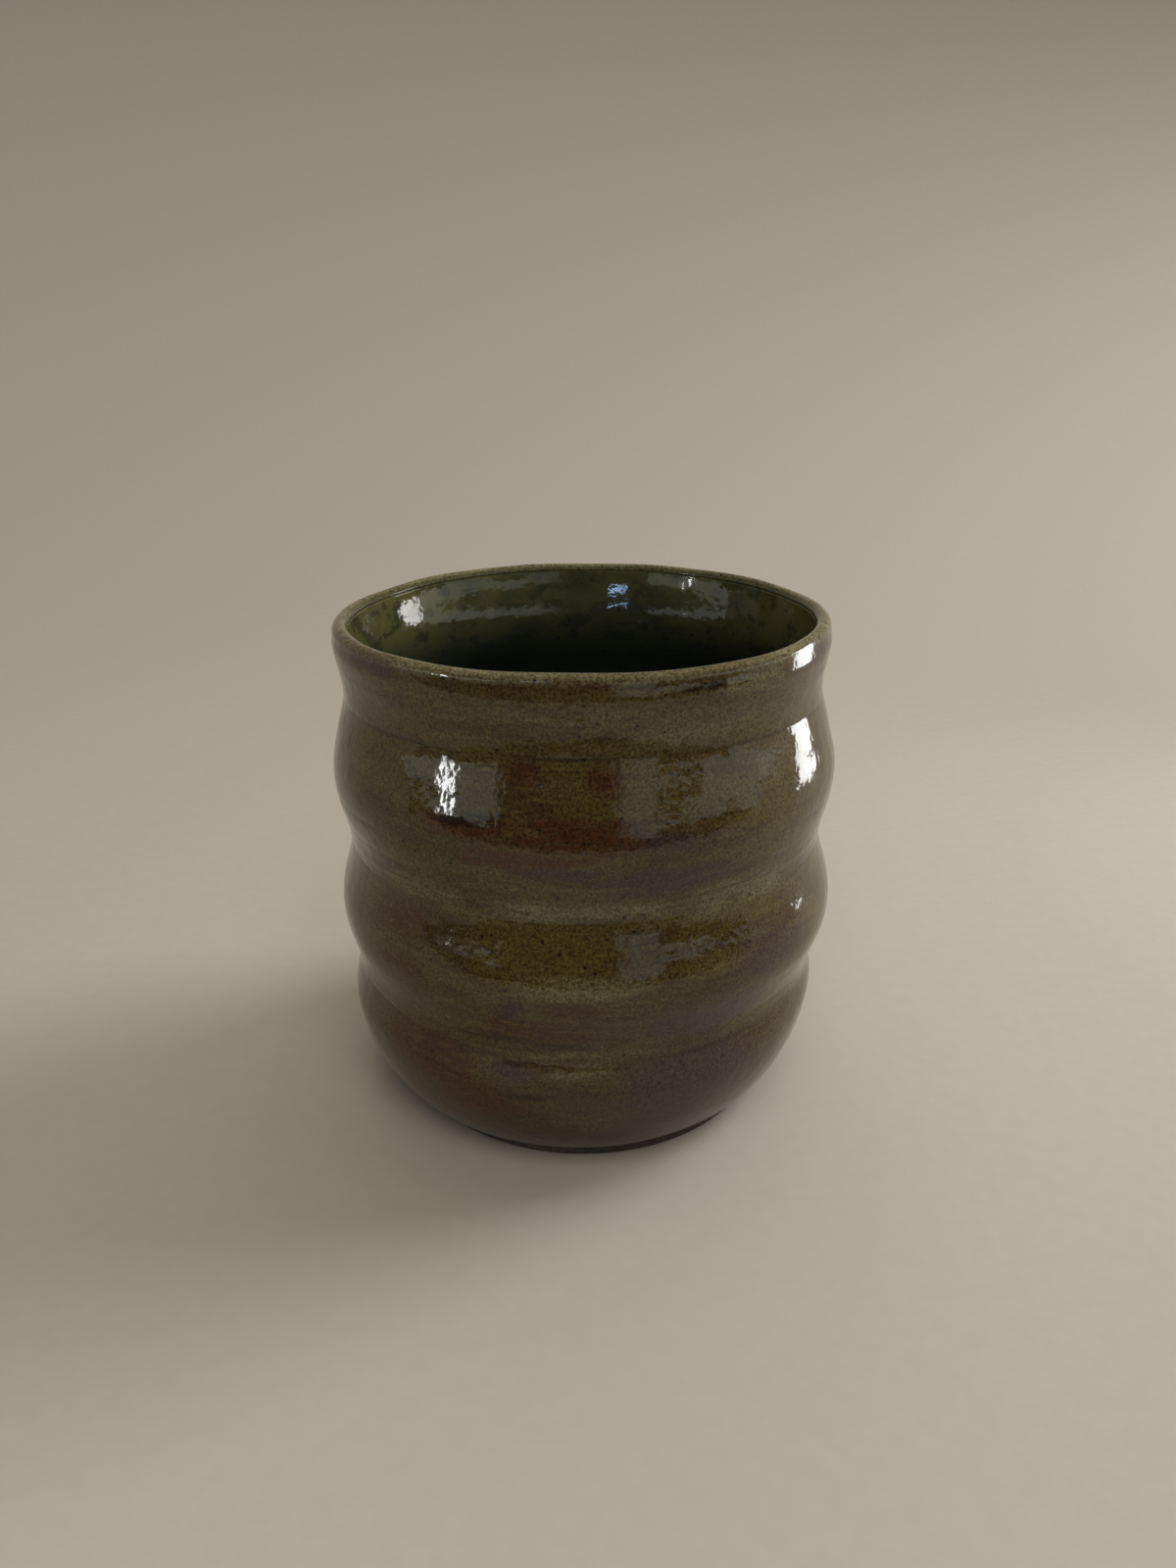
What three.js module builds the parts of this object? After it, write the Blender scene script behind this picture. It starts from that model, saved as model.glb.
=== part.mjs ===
// Handleless stoneware mug, thrown on a wheel, trimmed at the foot and dipped in glaze.
// Millimetres, +Z up, origin at the middle of the foot on the table.
import * as THREE from "three";

// Foot ring, left bare of glaze
const FOOT_RADIUS = 31.9;
const FOOT_BEVEL = 0.2;
const FOOT_RING_WIDTH = 4.6;
const RECESS_DEPTH = 2.6;
const RECESS_SLOPE = 0.9;

// Throwing rings of the clay, from the glaze line up to the lip. The belly's radius sets the wall's width.
const GLAZE_LINE_Z = 2.5;
const GLAZE_LINE_R = 31.8;
const BELLY_Z = 19.5;
const BELLY_R = 41;
const LOWER_GROOVE_Z = 25.4;
const LOWER_GROOVE_DEPTH = 0.95;
const MIDDLE_BULGE_Z = 36.7;
const MIDDLE_BULGE_STEP = 1.6;
const UPPER_GROOVE_Z = 48.1;
const UPPER_GROOVE_DEPTH = 2.4;
const UPPER_BULGE_Z = 60.1;
const UPPER_BULGE_STEP = 1.2;
const NECK_Z = 73.6;
const NECK_DEPTH = 2.75;
const LIP_Z = 84;
const LIP_FLARE = 1.15;

// Fullness of the curve from foot to belly: 1 is a straight cone, 2 a round bowl
const BASE_FULLNESS = 1.6;
// How late the wall thins on its way up to the lip: 1 is evenly, 3 mostly near the top
const WALL_TAPER = 3;
// Sharpness of each groove: 0 is a soft wave, 1 a crease between two round rings
const LOWER_GROOVE_SHARPNESS = 0.15;
const UPPER_GROOVE_SHARPNESS = 0.1;
const NECK_SHARPNESS = 0;

// Clay wall, its floor and the glaze on it
const WALL_AT_BELLY = 4.2;
const WALL_AT_LIP = 2;
const FLOOR_Z = 8.6;
const GLAZE = 0.4;

// Steps of the profile and of the turn
const TURN_STEPS = 36;
const BASE_STEPS = 6;
const OUTSIDE_RING_STEPS = 4;
const INSIDE_RING_STEPS = 3;
const LIP_STEPS = 5;
const CORNER_STEPS = 5;

const OUTWARDS = new THREE.Vector2(1, 0);
const INWARDS = new THREE.Vector2(-1, 0);
const UPWARDS = new THREE.Vector2(0, 1);

// The bulges stand out from the belly, each groove is cut back from the ring below it,
// and the lip flares out from the neck.
const middleBulgeR = BELLY_R + MIDDLE_BULGE_STEP;
const upperBulgeR = BELLY_R + UPPER_BULGE_STEP;
const lowerGrooveR = BELLY_R - LOWER_GROOVE_DEPTH;
const upperGrooveR = middleBulgeR - UPPER_GROOVE_DEPTH;
const neckR = upperBulgeR - NECK_DEPTH;
const lipR = neckR + LIP_FLARE;

// Crests and grooves in turn, each pair joined by one stretch of the wall.
const rings = [
  { z: BELLY_Z, r: BELLY_R },
  { z: LOWER_GROOVE_Z, r: lowerGrooveR, sharpness: LOWER_GROOVE_SHARPNESS },
  { z: MIDDLE_BULGE_Z, r: middleBulgeR },
  { z: UPPER_GROOVE_Z, r: upperGrooveR, sharpness: UPPER_GROOVE_SHARPNESS },
  { z: UPPER_BULGE_Z, r: upperBulgeR },
  { z: NECK_Z, r: neckR, sharpness: NECK_SHARPNESS },
  { z: LIP_Z, r: lipR },
];

// Share of the way from a groove (0) to the crest beside it (1).
function swell(t, sharpness) {
  const soft = 0.5 - 0.5 * Math.cos(Math.PI * t);
  const round = Math.sqrt(1 - (1 - t) ** 2);
  return soft + sharpness * (round - soft);
}

// Outside radius of the clay on the stretch between a groove and the crest beside it.
function stretchRadius(low, high, t) {
  if ("sharpness" in low) {
    return low.r + (high.r - low.r) * swell(t, low.sharpness);
  }
  return high.r + (low.r - high.r) * swell(1 - t, high.sharpness);
}

// Points of the clay's wall from the belly up to the lip.
function ringPoints(steps) {
  const points = [new THREE.Vector2(BELLY_R, BELLY_Z)];
  for (let i = 0; i + 1 < rings.length; i++) {
    const low = rings[i];
    const high = rings[i + 1];
    for (let step = 1; step <= steps; step++) {
      const t = step / steps;
      const z = low.z + t * (high.z - low.z);
      points.push(new THREE.Vector2(stretchRadius(low, high, t), z));
    }
  }
  return points;
}

// The curve under the belly, a superellipse that starts flat at the glaze line.
function basePoints() {
  const points = [];
  for (let step = 0; step < BASE_STEPS; step++) {
    const angle = ((Math.PI / 2) * step) / BASE_STEPS;
    const out = Math.sin(angle) ** (2 / BASE_FULLNESS);
    const down = Math.cos(angle) ** (2 / BASE_FULLNESS);
    const r = GLAZE_LINE_R + (BELLY_R - GLAZE_LINE_R) * out;
    points.push(new THREE.Vector2(r, BELLY_Z - (BELLY_Z - GLAZE_LINE_Z) * down));
  }
  return points;
}

// Points on an arc, without the one it starts from.
function arcPoints(centreR, centreZ, radius, fromAngle, toAngle, steps) {
  const points = [];
  for (let step = 1; step <= steps; step++) {
    const angle = fromAngle + ((toAngle - fromAngle) * step) / steps;
    const r = centreR + radius * Math.cos(angle);
    points.push(new THREE.Vector2(r, centreZ + radius * Math.sin(angle)));
  }
  return points;
}

// Outside of the clay, from the glaze line up and over the rounded lip to its inner edge.
function clayOutside() {
  const lipRadius = WALL_AT_LIP / 2;
  const lip = arcPoints(lipR - lipRadius, LIP_Z, lipRadius, 0, Math.PI, LIP_STEPS);
  return [...basePoints(), ...ringPoints(OUTSIDE_RING_STEPS), ...lip];
}

// Inside of the clay, from the lip's inner edge down the wall to the middle of the floor.
function clayInside() {
  const wall = ringPoints(INSIDE_RING_STEPS).reverse().map((point) => {
    const up = (point.y - BELLY_Z) / (LIP_Z - BELLY_Z);
    const thickness = WALL_AT_BELLY + up ** WALL_TAPER * (WALL_AT_LIP - WALL_AT_BELLY);
    return new THREE.Vector2(point.x - thickness, point.y);
  });
  const corner = BELLY_Z - FLOOR_Z;
  const centreR = BELLY_R - WALL_AT_BELLY - corner;
  const sweep = arcPoints(centreR, BELLY_Z, corner, 0, -Math.PI / 2, CORNER_STEPS);
  return [...wall, ...sweep, new THREE.Vector2(0, FLOOR_Z)];
}

// The same line moved out by the glaze, square to itself, with the two ends' directions given.
function glazeSurface(points, firstNormal, lastNormal) {
  return points.map((point, i) => {
    let normal = firstNormal;
    if (i === points.length - 1) normal = lastNormal;
    if (i > 0 && i < points.length - 1) {
      const along = points[i + 1].clone().sub(points[i - 1]).normalize();
      normal = new THREE.Vector2(along.y, -along.x);
    }
    return point.clone().addScaledVector(normal, GLAZE);
  });
}

// One turned piece, its profile given as (radius, height) points.
function turned(name, profile, look) {
  const geometry = new THREE.LatheGeometry(profile, TURN_STEPS);
  geometry.rotateX(Math.PI / 2);
  const mesh = new THREE.Mesh(geometry, new THREE.MeshStandardMaterial(look));
  mesh.name = name;
  return mesh;
}

const outside = clayOutside();
const inside = clayInside();

const footInnerR = FOOT_RADIUS - FOOT_RING_WIDTH;
const footProfile = [
  new THREE.Vector2(0, RECESS_DEPTH),
  new THREE.Vector2(footInnerR - RECESS_SLOPE, RECESS_DEPTH),
  new THREE.Vector2(footInnerR, 0),
  new THREE.Vector2(FOOT_RADIUS - FOOT_BEVEL, 0),
  new THREE.Vector2(FOOT_RADIUS, FOOT_BEVEL),
];

// The lip's inner edge ends the outside line and starts the inside one.
const clayProfile = [...footProfile, ...outside, ...inside.slice(1)];
const outerCoat = [...glazeSurface(outside, OUTWARDS, INWARDS), ...outside.slice().reverse()];
outerCoat.push(outerCoat[0].clone());
const innerCoat = [...inside.slice().reverse(), ...glazeSurface(inside, INWARDS, UPWARDS)];

const mug = new THREE.Group();
mug.add(
  turned("clay_body", clayProfile, { color: 0x5b4a3f, roughness: 0.85, metalness: 0 }),
  turned("outer_glaze", outerCoat, { color: 0x85755f, roughness: 0.25, metalness: 0 }),
  turned("inner_glaze", innerCoat, { color: 0x55563a, roughness: 0.2, metalness: 0 }),
);

export default mug;
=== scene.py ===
# %% [markdown]
# # A handleless stoneware mug
# A mug like this is thrown on a wheel, trimmed at the foot, dipped in glaze and fired.
# Its shape is one profile turned about the Z axis, so almost everything here is a line of
# (radius, height) points carried round a circle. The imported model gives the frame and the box
# that the mug has to fill. This script repeats the model's sizes and makes the fine surfaces,
# the glaze and the light.

import bpy
import numpy as np
from mathutils import Matrix, Vector


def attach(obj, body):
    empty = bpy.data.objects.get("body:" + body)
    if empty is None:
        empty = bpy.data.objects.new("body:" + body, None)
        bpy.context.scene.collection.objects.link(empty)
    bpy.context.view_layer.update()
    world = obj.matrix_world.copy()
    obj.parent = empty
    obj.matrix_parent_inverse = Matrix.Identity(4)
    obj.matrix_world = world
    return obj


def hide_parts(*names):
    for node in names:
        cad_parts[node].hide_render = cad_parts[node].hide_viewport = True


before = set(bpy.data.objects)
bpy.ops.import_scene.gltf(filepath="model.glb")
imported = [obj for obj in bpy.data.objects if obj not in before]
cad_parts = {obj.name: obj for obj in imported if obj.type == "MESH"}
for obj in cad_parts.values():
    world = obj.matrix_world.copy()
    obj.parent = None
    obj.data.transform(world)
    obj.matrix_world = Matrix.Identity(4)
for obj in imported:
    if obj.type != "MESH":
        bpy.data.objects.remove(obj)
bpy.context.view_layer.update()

MM = 0.001
print("nodes:", sorted(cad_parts))

# %% [markdown]
# ## The potter's line
# The wall is a row of rings that the fingers left: a belly, two bulges, the grooves between
# them, a neck and a flared lip. Each ring is a height and a radius, and a wave joins each
# groove to the crest beside it. A spline through measured points could do the same, but then
# no single number would say how far in a groove goes.

# %% Sizes of the clay in millimetres
FOOT_RADIUS = 31.9
FOOT_BEVEL = 0.2
FOOT_RING_WIDTH = 4.6
RECESS_DEPTH = 2.6
RECESS_SLOPE = 0.9
GLAZE_LINE_Z, GLAZE_LINE_R = 2.5, 31.8
BELLY_Z, BELLY_R = 19.5, 41.0
LOWER_GROOVE_Z, LOWER_GROOVE_R = 25.4, 40.05
MIDDLE_BULGE_Z, MIDDLE_BULGE_R = 36.7, 42.6
UPPER_GROOVE_Z, UPPER_GROOVE_R = 48.1, 40.2
UPPER_BULGE_Z, UPPER_BULGE_R = 60.1, 42.2
NECK_Z, NECK_R = 73.6, 39.45
LIP_Z, LIP_R = 84.0, 40.6
BASE_FULLNESS = 1.6
LOWER_GROOVE_SHARPNESS = 0.15
UPPER_GROOVE_SHARPNESS = 0.1
NECK_SHARPNESS = 0.0
WALL_AT_BELLY, WALL_AT_LIP, WALL_TAPER = 4.2, 2.0, 3
FLOOR_Z = 8.6
GLAZE = 0.4
SHOULDER_Z, SHOULDER_SWELL, SHOULDER_SPREAD = 69.0, 0.25, 3.0
LIP_CREST_Z, LIP_ROUND = 81.6, 0.3
print("lip", 2 * (LIP_R + GLAZE), "mm across, top at", LIP_Z + WALL_AT_LIP / 2 + GLAZE, "mm")


# %% The wall, one stretch after the other
RING_POINTS = 40


def swell(t, sharpness):
    """Way from a groove (0) to a crest (1): half a cosine wave, blended with a quarter circle."""
    soft = 0.5 - 0.5 * np.cos(np.pi * t)
    round_ring = np.sqrt(1 - (1 - t) ** 2)
    return soft + sharpness * (round_ring - soft)


def stretch(groove, crest, sharpness):
    """Line from a groove up or down to a crest: height runs evenly, radius follows the swell."""
    t = np.linspace(0, 1, RING_POINTS)
    radius = groove[1] + (crest[1] - groove[1]) * swell(t, sharpness)
    return np.column_stack([radius, groove[0] + (crest[0] - groove[0]) * t])


def wall_line():
    """Outside of the clay from belly to lip: crest, groove and so on, each pair a stretch."""
    belly = (BELLY_Z, BELLY_R)
    low = (LOWER_GROOVE_Z, LOWER_GROOVE_R)
    middle = (MIDDLE_BULGE_Z, MIDDLE_BULGE_R)
    high = (UPPER_GROOVE_Z, UPPER_GROOVE_R)
    upper = (UPPER_BULGE_Z, UPPER_BULGE_R)
    neck = (NECK_Z, NECK_R)
    lip = (LIP_Z, LIP_R)
    pieces = [
        stretch(low, belly, LOWER_GROOVE_SHARPNESS)[::-1],
        stretch(low, middle, LOWER_GROOVE_SHARPNESS)[1:],
        stretch(high, middle, UPPER_GROOVE_SHARPNESS)[::-1][1:],
        stretch(high, upper, UPPER_GROOVE_SHARPNESS)[1:],
        stretch(neck, upper, NECK_SHARPNESS)[::-1][1:],
        stretch(neck, lip, NECK_SHARPNESS)[1:],
    ]
    return np.concatenate(pieces)


print("wall line:", len(wall_line()), "points from belly to lip")

# %% The lines of the outside and the inside
BASE_POINTS, LIP_POINTS, CORNER_POINTS = 60, 30, 30


def arc(centre, radius, start, end, points):
    """Points of an arc about a centre: cosine for the radius, sine for the height."""
    angle = np.linspace(start, end, points)
    return np.column_stack([centre[0] + radius * np.cos(angle), centre[1] + radius * np.sin(angle)])


def eased(value, low, high):
    """Smooth step from 0 at low to 1 at high."""
    t = np.clip((value - low) / (high - low), 0, 1)
    return t * t * (3 - 2 * t)


def bell(value, centre, width):
    """Bell curve: 1 on its centre, a third of that one width away."""
    return np.exp(-(((value - centre) / width) ** 2))


def outside_line():
    """Bare foot wall, superellipse up to the belly, ringed wall, half circle over the lip.

    The wall is a little fuller just under the neck, by a bell curve of the height, and draws in
    by a smooth step at the lip, which makes the lip rounder.
    """
    foot = np.array([[FOOT_RADIUS, FOOT_BEVEL], [GLAZE_LINE_R, GLAZE_LINE_Z]])
    angle = np.linspace(0, np.pi / 2, BASE_POINTS)[1:-1]
    out = np.sin(angle) ** (2 / BASE_FULLNESS)
    down = np.cos(angle) ** (2 / BASE_FULLNESS)
    base = np.column_stack([
        GLAZE_LINE_R + (BELLY_R - GLAZE_LINE_R) * out,
        BELLY_Z - (BELLY_Z - GLAZE_LINE_Z) * down,
    ])
    wall = wall_line()
    wall[:, 0] += SHOULDER_SWELL * bell(wall[:, 1], SHOULDER_Z, SHOULDER_SPREAD)
    wall[:, 0] -= LIP_ROUND * eased(wall[:, 1], LIP_CREST_Z, LIP_Z)
    half = (WALL_AT_LIP - LIP_ROUND) / 2
    lip = arc((LIP_R - WALL_AT_LIP + half, LIP_Z), half, 0, np.pi, LIP_POINTS)[1:]
    return np.concatenate([foot, base, wall, lip])


def inside_line():
    """Wall thinned towards the lip, quarter circle into the floor, straight to the middle."""
    wall = wall_line()[::-1].copy()
    up = (wall[:, 1] - BELLY_Z) / (LIP_Z - BELLY_Z)
    wall[:, 0] -= WALL_AT_BELLY + up**WALL_TAPER * (WALL_AT_LIP - WALL_AT_BELLY)
    corner = BELLY_Z - FLOOR_Z
    centre = (BELLY_R - WALL_AT_BELLY - corner, BELLY_Z)
    sweep = arc(centre, corner, 0, -np.pi / 2, CORNER_POINTS)[1:]
    return np.concatenate([wall, sweep, [[0.0, FLOOR_Z]]])


def distances(line):
    """Length along a line of points, from its start to each point."""
    return np.concatenate([[0.0], np.cumsum(np.hypot(*np.diff(line, axis=0).T))])


outside, inside = outside_line(), inside_line()
outside_s, inside_s = distances(outside), distances(inside)
print("outside line", round(outside_s[-1], 1), "mm, inside line", round(inside_s[-1], 1), "mm")

# %% [markdown]
# ## What the hand leaves
# A thrown mug is never quite round. Its base sits a little to the left, its lip leans too and
# its edge rises and falls. A random displacement would look like a lump, so each of these is a
# small shift or a slow wave of the turn angle, and all three skins share it so that they stay in
# touch. The waves only ever pull the surface in, and the shift is largest where the mug is
# narrow, so the mug stays inside the solids' box.

# %% The hand's unevenness, shared by every skin
LIP_LEAN = 0.27
BELLY_LEAN = 1.05
FOOT_LEAN_SHARE = 0.45
LEAN_FULL_Z, LEAN_GONE_Z, FOOT_EASE_Z = 8, 36, 4
STILL_RADIUS = 30
LIP_WAVE = 0.6
OUT_OF_ROUND = 0.22
LIP_TERMS = [(0.4, 2, 0.0), (0.25, 5, 0.0), (0.2, 3, 2.2), (0.15, 11, 0.7)]
ROUND_TERMS = [(0.6, 2, 0.8), (0.4, 3, -1.1)]
MOST_LOBES = 13


def swing(value, terms):
    """Sum of cosines, each with a share, a rate and a phase. Round the mug, rates are lobes."""
    return sum(share * np.cos(rate * value + phase) for share, rate, phase in terms)


def by_hand(radius, height, turn):
    """Place of a point in metres: turned about Z, then leaned to the left and waved at the lip.

    The base leans most just above the foot, and the middle of each floor stays where it is.
    """
    share = np.clip(height / LIP_Z, 0, 1.05)
    pulled_in = OUT_OF_ROUND * (0.5 - 0.5 * swing(turn, ROUND_TERMS))
    radius = radius - pulled_in * share * (radius > 1)
    height = height - LIP_WAVE * share**8 * (0.5 - 0.5 * swing(turn, LIP_TERMS))
    foot_share = FOOT_LEAN_SHARE + (1 - FOOT_LEAN_SHARE) * eased(height, 0, FOOT_EASE_Z)
    base_lean = BELLY_LEAN * (1 - eased(height, LEAN_FULL_Z, LEAN_GONE_Z)) * foot_share
    lean = (LIP_LEAN * share**4 + base_lean) * np.clip(radius / STILL_RADIUS, 0, 1)
    x = radius * np.sin(turn) - lean
    return np.stack([x, -radius * np.cos(turn), height], axis=-1) * MM


def ripples(turn, height, seed, waves, longest):
    """Smooth unevenness about 0: a scaled sum of waves that close on themselves round the mug."""
    rng = np.random.default_rng(seed)
    total = np.zeros(np.broadcast(turn, height).shape)
    for lobes in rng.integers(1, MOST_LOBES + 1, waves):
        along = rng.uniform(-2 * np.pi, 2 * np.pi) / longest
        total += np.cos(lobes * turn + along * height + rng.uniform(0, 2 * np.pi))
    return total * np.sqrt(2 / waves) / 2


print("base leans by up to", BELLY_LEAN, "mm, lip waves by up to", LIP_WAVE, "mm")

# %% [markdown]
# ## From a line to a mesh
# A line carried round the axis makes a grid of points: one row for each point of the line, one
# column for each step of the turn. Modifiers such as Screw would do it too, but a grid of my
# own lets every point carry its own glaze thickness and its own paint values. Rows that meet
# the axis end in one point, so the middle of the floor is closed without a pinched ring.

# %% A closed skin from rows of points
def closed_skin(name, rings, start_pole=None, end_pole=None):
    """Mesh of rows of points round the axis: each four neighbours a face, ends closed by poles.

    With no poles the last row joins the first, which makes a hollow shell like a tyre.
    """
    rows, cols = rings.shape[:2]
    points = [rings.reshape(-1, 3)]
    index = np.arange(rows * cols).reshape(rows, cols)
    beside = np.roll(index, -1, axis=1)
    joined = rows if start_pole is None and end_pole is None else rows - 1
    above = np.roll(index, -1, axis=0)
    above_beside = np.roll(above, -1, axis=1)
    quads = np.stack([index, beside, above_beside, above], axis=-1)[:joined].reshape(-1, 4)
    triangles = []
    for pole, side in ((start_pole, 0), (end_pole, 1)):
        if pole is None:
            continue
        tip = np.full(cols, sum(len(p) for p in points))
        points.append(np.asarray(pole).reshape(1, 3))
        edge = (beside[0], index[0]) if side == 0 else (index[-1], beside[-1])
        triangles.append(np.stack([edge[0], edge[1], tip], axis=-1))
    points = np.concatenate(points)
    corners = np.concatenate([quads.ravel()] + [t.ravel() for t in triangles])
    counts = np.concatenate([np.full(len(quads), 4)] + [np.full(len(t), 3) for t in triangles])
    mesh = bpy.data.meshes.new(name)
    mesh.vertices.add(len(points))
    mesh.vertices.foreach_set("co", points.ravel())
    mesh.loops.add(len(corners))
    mesh.loops.foreach_set("vertex_index", corners)
    mesh.polygons.add(len(counts))
    mesh.polygons.foreach_set("loop_start", np.cumsum(counts) - counts)
    mesh.polygons.foreach_set("use_smooth", np.ones(len(counts), bool))
    mesh.update(calc_edges=True)
    mesh.validate()
    piece = bpy.data.objects.new(name, mesh)
    bpy.context.scene.collection.objects.link(piece)
    print(name, len(points), "points,", len(counts), "faces")
    return piece


print("helper: closed_skin")


# %% Paint and dress a piece
def paint(piece, name, values):
    """Stores one number per point on the mesh, for the material to read by name."""
    full = np.zeros(len(piece.data.vertices), np.float32)
    full[: values.size] = values.ravel()
    piece.data.attributes.new(name, "FLOAT", "POINT").data.foreach_set("value", full)


def dress(piece, material, node):
    """Gives a piece its material and makes it stand for the solid of that node."""
    piece.data.materials.append(material)
    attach(piece, "root")
    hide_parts(node)
    print(piece.name, "wears", material.name, "and stands for", node)


print("helpers: paint, dress")

# %% Places and directions along a line
EVEN_POINTS = 1200


def on_line(line, line_s, s):
    """Radius and height at each distance s along a line."""
    return np.interp(s, line_s, line[:, 0]), np.interp(s, line_s, line[:, 1])


def normals(line, line_s, blur):
    """Unit direction off the clay at each point of a line: its tangent turned a quarter turn.

    Corners are softened over the blur length, as thick glaze softens them.
    """
    even = np.linspace(0, line_s[-1], EVEN_POINTS)
    radius, height = on_line(line, line_s, even)
    width = max(3, int(blur / (even[1] - even[0])) | 1)
    window = np.hanning(width + 2)[1:-1]
    window /= window.sum()
    directions = []
    for part in (np.gradient(height), -np.gradient(radius)):
        padded = np.pad(part, width // 2, mode="edge")
        directions.append(np.convolve(padded, window, mode="valid"))
    length = np.hypot(*directions)
    return even, directions[0] / length, directions[1] / length


print("helpers: on_line, normals")

# %% [markdown]
# ## Shader helpers
# Each finish below is a small graph of nodes. These helpers only save typing: they add a node,
# fill its sockets with values or links and hand back the socket that the next node needs.
# Every pattern reads Object coordinates, in metres, so a speck keeps its real size on each piece.

# %% Node helpers
def put(tree, kind, inputs, **settings):
    """Adds a node, sets its options, then fills its sockets with values or links."""
    node = tree.nodes.new(kind)
    for name, value in settings.items():
        setattr(node, name, value)
    for name, value in inputs.items():
        socket = node.inputs[name]
        if isinstance(value, bpy.types.NodeSocket):
            tree.links.new(value, socket)
        else:
            socket.default_value = value
    return node


def colour(red, green, blue):
    """A colour for a socket, with full alpha."""
    return (red, green, blue, 1.0)


def blended(tree, factor, first, second, blend="MIX"):
    """Second colour laid over the first by a factor."""
    inputs = {0: factor, 6: first, 7: second}
    return put(tree, "ShaderNodeMix", inputs, data_type="RGBA", blend_type=blend).outputs[2]


def graded(tree, value, low, high, to_low=0.0, to_high=1.0):
    """Value between low and high spread smoothly over a new range."""
    inputs = {"Value": value, 1: low, 2: high, 3: to_low, 4: to_high}
    return put(tree, "ShaderNodeMapRange", inputs, interpolation_type="SMOOTHSTEP").outputs[0]


def product(tree, first, second):
    """One value times another."""
    return put(tree, "ShaderNodeMath", {0: first, 1: second}, operation="MULTIPLY").outputs[0]


def read_paint(tree, name):
    """The value that paint() stored on the mesh under this name."""
    return put(tree, "ShaderNodeAttribute", {}, attribute_name=name).outputs["Fac"]


def shaded(tree, tone, amount):
    """A colour made lighter or darker by one amount, 1 leaving it as it is."""
    grey = put(tree, "ShaderNodeCombineColor", {0: amount, 1: amount, 2: amount}).outputs[0]
    return blended(tree, 1.0, tone, grey, "MULTIPLY")


print("helpers: put, colour, blended, graded, product, read_paint, shaded")

# %% Patterns, and an empty finish
SPECK_CORE, CHANCE_EDGE = 0.55, 0.1


def grain(tree, place, size_mm, detail=2.0, roughness=0.5, flatten=1.0):
    """Noise whose lumps are about size_mm wide, squeezed in height when flatten is above 1."""
    mapping = {"Vector": place, "Scale": (1, 1, flatten)}
    squeezed = put(tree, "ShaderNodeMapping", mapping).outputs[0]
    inputs = {"Vector": squeezed, "Scale": 1 / (size_mm * MM)}
    inputs.update({"Detail": detail, "Roughness": roughness})
    return put(tree, "ShaderNodeTexNoise", inputs).outputs[0]


def specks(tree, place, spacing_mm, radius, left_out):
    """Round specks on a scattered grid: near a cell's middle, with a share of cells left out."""
    inputs = {"Vector": place, "Scale": 1 / (spacing_mm * MM)}
    cells = put(tree, "ShaderNodeTexVoronoi", inputs)
    near = graded(tree, cells.outputs["Distance"], radius, radius * SPECK_CORE)
    chance = put(tree, "ShaderNodeSeparateColor", {0: cells.outputs["Color"]}).outputs[0]
    return product(tree, near, graded(tree, chance, left_out, left_out + CHANCE_EDGE))


def orange_peel(tree, place, size_mm, height_mm, under=None):
    """Even dimples in the gloss: a bump of the given height in mm, on another bump if given."""
    dimples = grain(tree, place, size_mm)
    inputs = {"Strength": 1.0, "Distance": height_mm * MM, "Height": dimples}
    if under is not None:
        inputs["Normal"] = under
    return put(tree, "ShaderNodeBump", inputs).outputs[0]


def new_finish(name):
    """An empty material with its shader and the Object coordinates that its nodes read."""
    material = bpy.data.materials.new(name)
    material.use_nodes = True
    tree = material.node_tree
    shader = tree.nodes["Principled BSDF"]
    place = tree.nodes.new("ShaderNodeTexCoord").outputs["Object"]
    return material, tree, shader, place


print("helpers: grain, specks, orange_peel, new_finish")

# %% [markdown]
# ## The outer glaze, as a coat
# Such a glaze is poured or dipped, so it is a skin on the clay that ends in a rounded roll just
# above the foot. The roll is not quite level. I make the coat as its own closed shell, thick as
# the glaze is, whose edge rises over a short way like a quarter circle. A material on the clay
# alone could not show that small step and its shadow. The lines and marks that the fingers left
# under the glaze are bell curves on the same surface, each with its own height, width and rise.

# %% Where the coat begins
COLUMNS = 256
EDGE_LIFT = 0.1
EDGE_RUN, EDGE_RUN_DEG, EDGE_RUN_WIDTH = 0.5, 150, 40
EDGE_TERMS = [(0.12, 4, 1.0), (0.08, 9, 2.0)]
glaze_line_s = np.interp(GLAZE_LINE_Z, outside[:2, 1], outside_s[:2])
turn = np.linspace(0, 2 * np.pi, COLUMNS, endpoint=False)
turn_deg = (np.degrees(turn) + 180) % 360 - 180


def edge_start(turn, turn_deg):
    """Distance along the outside line where the glaze begins: level, gently wavy, lower behind."""
    run = EDGE_RUN * bell(turn_deg, EDGE_RUN_DEG, EDGE_RUN_WIDTH)
    return glaze_line_s + EDGE_LIFT - run + swing(turn, EDGE_TERMS)


coat_start = edge_start(turn, turn_deg)
print("coat begins", np.round([coat_start.min(), coat_start.max()], 2), "mm along the line")

# %% What the fingers left
CREASE_DEPTH = 0.12
CREASE_Z, CREASE_SWAY, CREASE_WIDTH = 72.6, 0.5, 0.42
CREASE_BEHIND, CREASE_FRONT_WIDTH = 0.25, 0.5
CREASE_SEED, FINGER_SEED = 21, 60
FADE_LEVEL, FADE_SWING = 0.55, 0.75
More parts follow.
